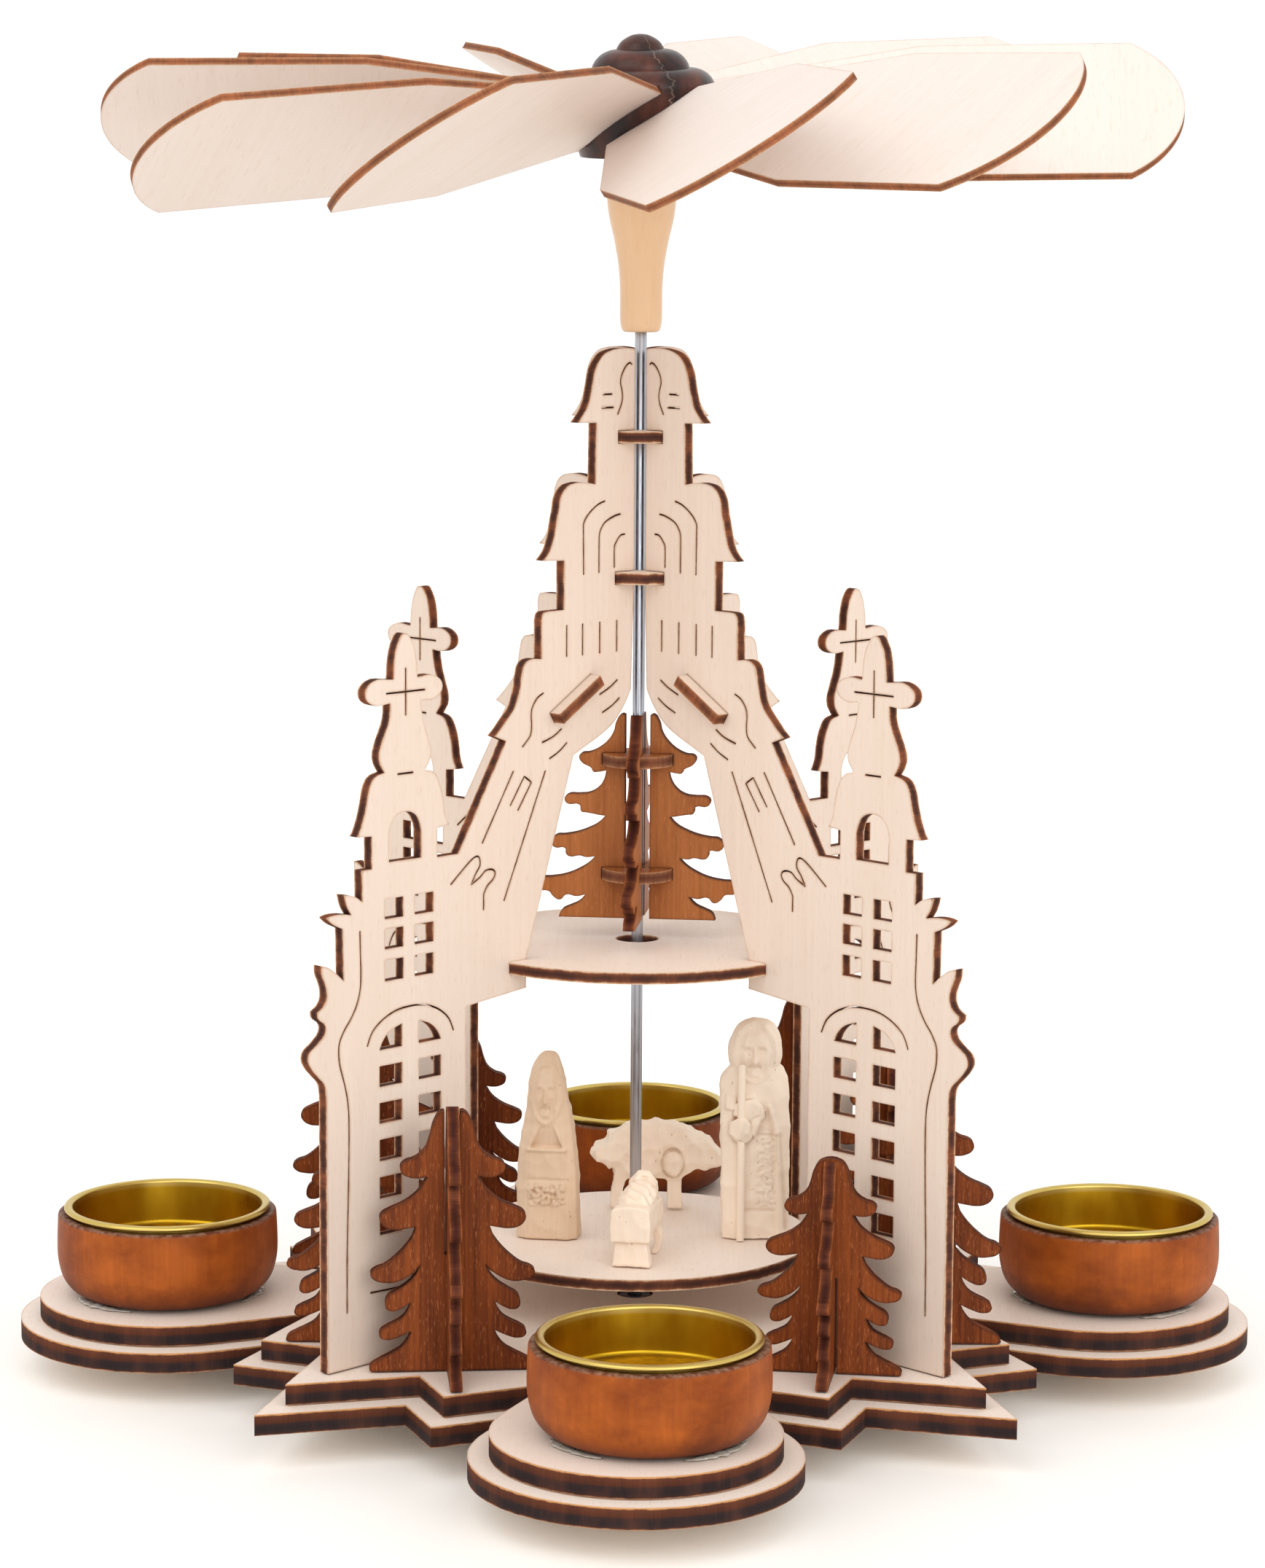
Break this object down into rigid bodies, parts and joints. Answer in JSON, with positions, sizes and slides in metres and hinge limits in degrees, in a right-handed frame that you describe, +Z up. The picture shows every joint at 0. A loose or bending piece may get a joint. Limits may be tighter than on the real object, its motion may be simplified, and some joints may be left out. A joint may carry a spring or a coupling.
{
  "type": "candle carousel",
  "caption": "Plywood candle pyramid: a bladed rotor on a steel rod turns a round stage of carved figures inside a stand of church-shaped panels with tea-light cups.",
  "frame": {"origin": "under the rod's axis, on the surface that the four feet stand on", "axes": "+Z up along the rod; +X and +Y point to the right-hand and rear cups, and -Y to the front cup"},
  "size_m": [0.2588, 0.2588, 0.2809],
  "materials": {
    "pale_plywood": "sanded, unvarnished, laser-cut edges scorched dark brown",
    "stained_plywood": "reddish brown stain, satin, near-black cut edges",
    "stained_cup": "turned, orange brown stain, satin",
    "brass_sheet": "thin pressed sheet, bright rolled rim",
    "steel_rod": "drawn, dull grey",
    "dark_hub": "turned, dark brown stain, semi-gloss lacquer",
    "pale_turning": "turned beech, clear satin lacquer",
    "carved_wood": "bare, knife-carved",
    "black_bearing": "dark socket for the rod's tip"
  },
  "bodies": {
    "stand": {"lower_base_plate": "pale_plywood", "upper_base_plate": "pale_plywood", "foot_right": "pale_turning", "foot_back": "pale_turning", "foot_left": "pale_turning", "foot_front": "pale_turning", "cup_right": "stained_cup", "cup_back": "stained_cup", "cup_left": "stained_cup", "cup_front": "stained_cup", "cup_insert_right": "brass_sheet", "cup_insert_back": "brass_sheet", "cup_insert_left": "brass_sheet", "cup_insert_front": "brass_sheet", "tip_bearing": "black_bearing", "panel_back_right": "pale_plywood", "panel_back_left": "pale_plywood", "panel_front_left": "pale_plywood", "panel_front_right": "pale_plywood", "slat_back_right": "pale_plywood", "slat_back_left": "pale_plywood", "slat_front_left": "pale_plywood", "slat_front_right": "pale_plywood", "middle_deck": "pale_plywood", "low_spire_disc": "pale_plywood", "high_spire_disc": "pale_plywood", "base_tree_back_right_inner": "stained_plywood", "base_tree_back_right_outer": "stained_plywood", "base_tree_back_left_inner": "stained_plywood", "base_tree_back_left_outer": "stained_plywood", "base_tree_front_right_inner": "stained_plywood", "base_tree_front_right_outer": "stained_plywood", "base_tree_front_left_inner": "stained_plywood", "base_tree_front_left_outer": "stained_plywood"},
    "carousel": {"hub": "dark_hub", "sleeve": "pale_turning", "rod": "steel_rod", "blade_1": "pale_plywood", "blade_2": "pale_plywood", "blade_3": "pale_plywood", "blade_4": "pale_plywood", "blade_5": "pale_plywood", "blade_6": "pale_plywood", "blade_7": "pale_plywood", "blade_8": "pale_plywood", "blade_9": "pale_plywood", "blade_10": "pale_plywood", "low_tree_ring": "stained_plywood", "high_tree_ring": "stained_plywood", "top_tree_right": "stained_plywood", "top_tree_back": "stained_plywood", "top_tree_left": "stained_plywood", "top_tree_front": "stained_plywood", "stage": "pale_plywood", "woman": "carved_wood", "man": "carved_wood", "staff": "carved_wood", "manger": "carved_wood", "animal": "carved_wood"}
  },
  "joints": [
    {"name": "carousel_spin", "type": "hinge", "parent": "stand", "child": "carousel", "pos_m": [0, 0, 0], "axis": [0, 0, 1], "continuous": true}
  ]
}
